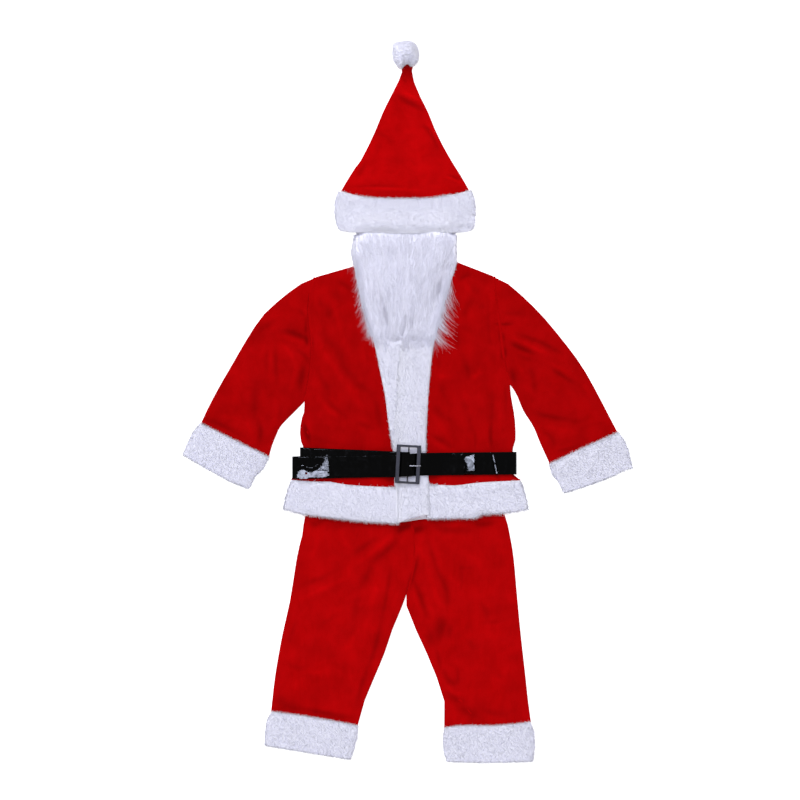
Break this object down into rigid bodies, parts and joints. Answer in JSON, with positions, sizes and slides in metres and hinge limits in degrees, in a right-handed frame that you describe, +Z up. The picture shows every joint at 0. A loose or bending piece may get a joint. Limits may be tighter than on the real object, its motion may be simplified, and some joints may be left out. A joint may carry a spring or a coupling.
{
  "type": "santa suit",
  "caption": "Child's Santa suit laid out flat: red velour hat with white band and pompom, white beard, belted jacket with plush trims, and trousers.",
  "frame": {"origin": "middle of the laid-out set's bounding box, on the surface that it lies on", "axes": "+Y from the trouser legs towards the hat's tip, +X towards the wearer's left sleeve, +Z up out of the surface"},
  "size_m": [0.8973, 1.4395, 0.047],
  "materials": {
    "velour_red": "short-napped velour",
    "plush_white": "short white plush",
    "fur_white": "long white pile",
    "vinyl_black": "glossy soft vinyl",
    "buckle_metal": "dull dark grey plating"
  },
  "bodies": {
    "root": {"trouser_front_right": "velour_red", "trouser_front_left": "velour_red", "trouser_back_right": "velour_red", "trouser_back_left": "velour_red", "jacket_back": "velour_red", "jacket_front_right": "velour_red", "jacket_front_left": "velour_red", "sleeve_right": "velour_red", "sleeve_left": "velour_red", "hat_front": "velour_red", "hat_back": "velour_red", "trouser_cuff_right": "plush_white", "trouser_cuff_left": "plush_white", "hem_back": "plush_white", "hem_front_right": "plush_white", "hem_front_left": "plush_white", "front_band_right": "plush_white", "front_band_left": "plush_white", "collar": "plush_white", "sleeve_cuff_right": "plush_white", "sleeve_cuff_left": "plush_white", "hat_band": "plush_white", "hat_pompom": "plush_white", "beard": "fur_white", "belt_strap": "vinyl_black", "buckle_frame": "buckle_metal", "buckle_prong": "buckle_metal"}
  },
  "joints": []
}
